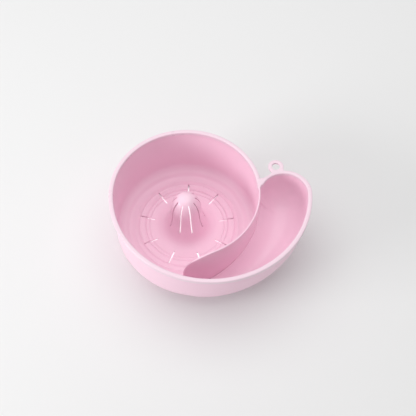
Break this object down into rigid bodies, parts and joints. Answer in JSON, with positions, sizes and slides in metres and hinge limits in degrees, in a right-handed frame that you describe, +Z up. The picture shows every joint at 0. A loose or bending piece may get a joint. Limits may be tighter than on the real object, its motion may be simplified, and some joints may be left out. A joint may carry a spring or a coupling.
{
  "type": "drain bowl",
  "caption": "Snail-shaped plastic washing and drain bowl with a slotted central dome, a slotted floor, a curved side tray behind a divider, and a hanging eye.",
  "frame": {"origin": "bottom centre of the whole bowl's box, on the table plane that the skirt stands on", "axes": "+Z up; +X towards the tail of the side tray; -Y towards the front, where the tray sweeps round; the round bowl's axis is at X -28 mm, Y +14 mm"},
  "size_m": [0.227, 0.199, 0.0792],
  "materials": {
    "shell": "semi-gloss moulded polypropylene, pastel pink",
    "rim": "semi-gloss moulded polypropylene, pastel pink, paler where it is thin and catches light"
  },
  "bodies": {
    "root": {"bowl_wall": "shell", "front_ledge": "shell", "spiral_wall": "shell", "side_tray": "shell", "divider_wall": "shell", "drain_floor": "shell", "strainer_dome": "shell", "rim_lip": "rim", "hanging_eye": "rim"}
  },
  "joints": []
}
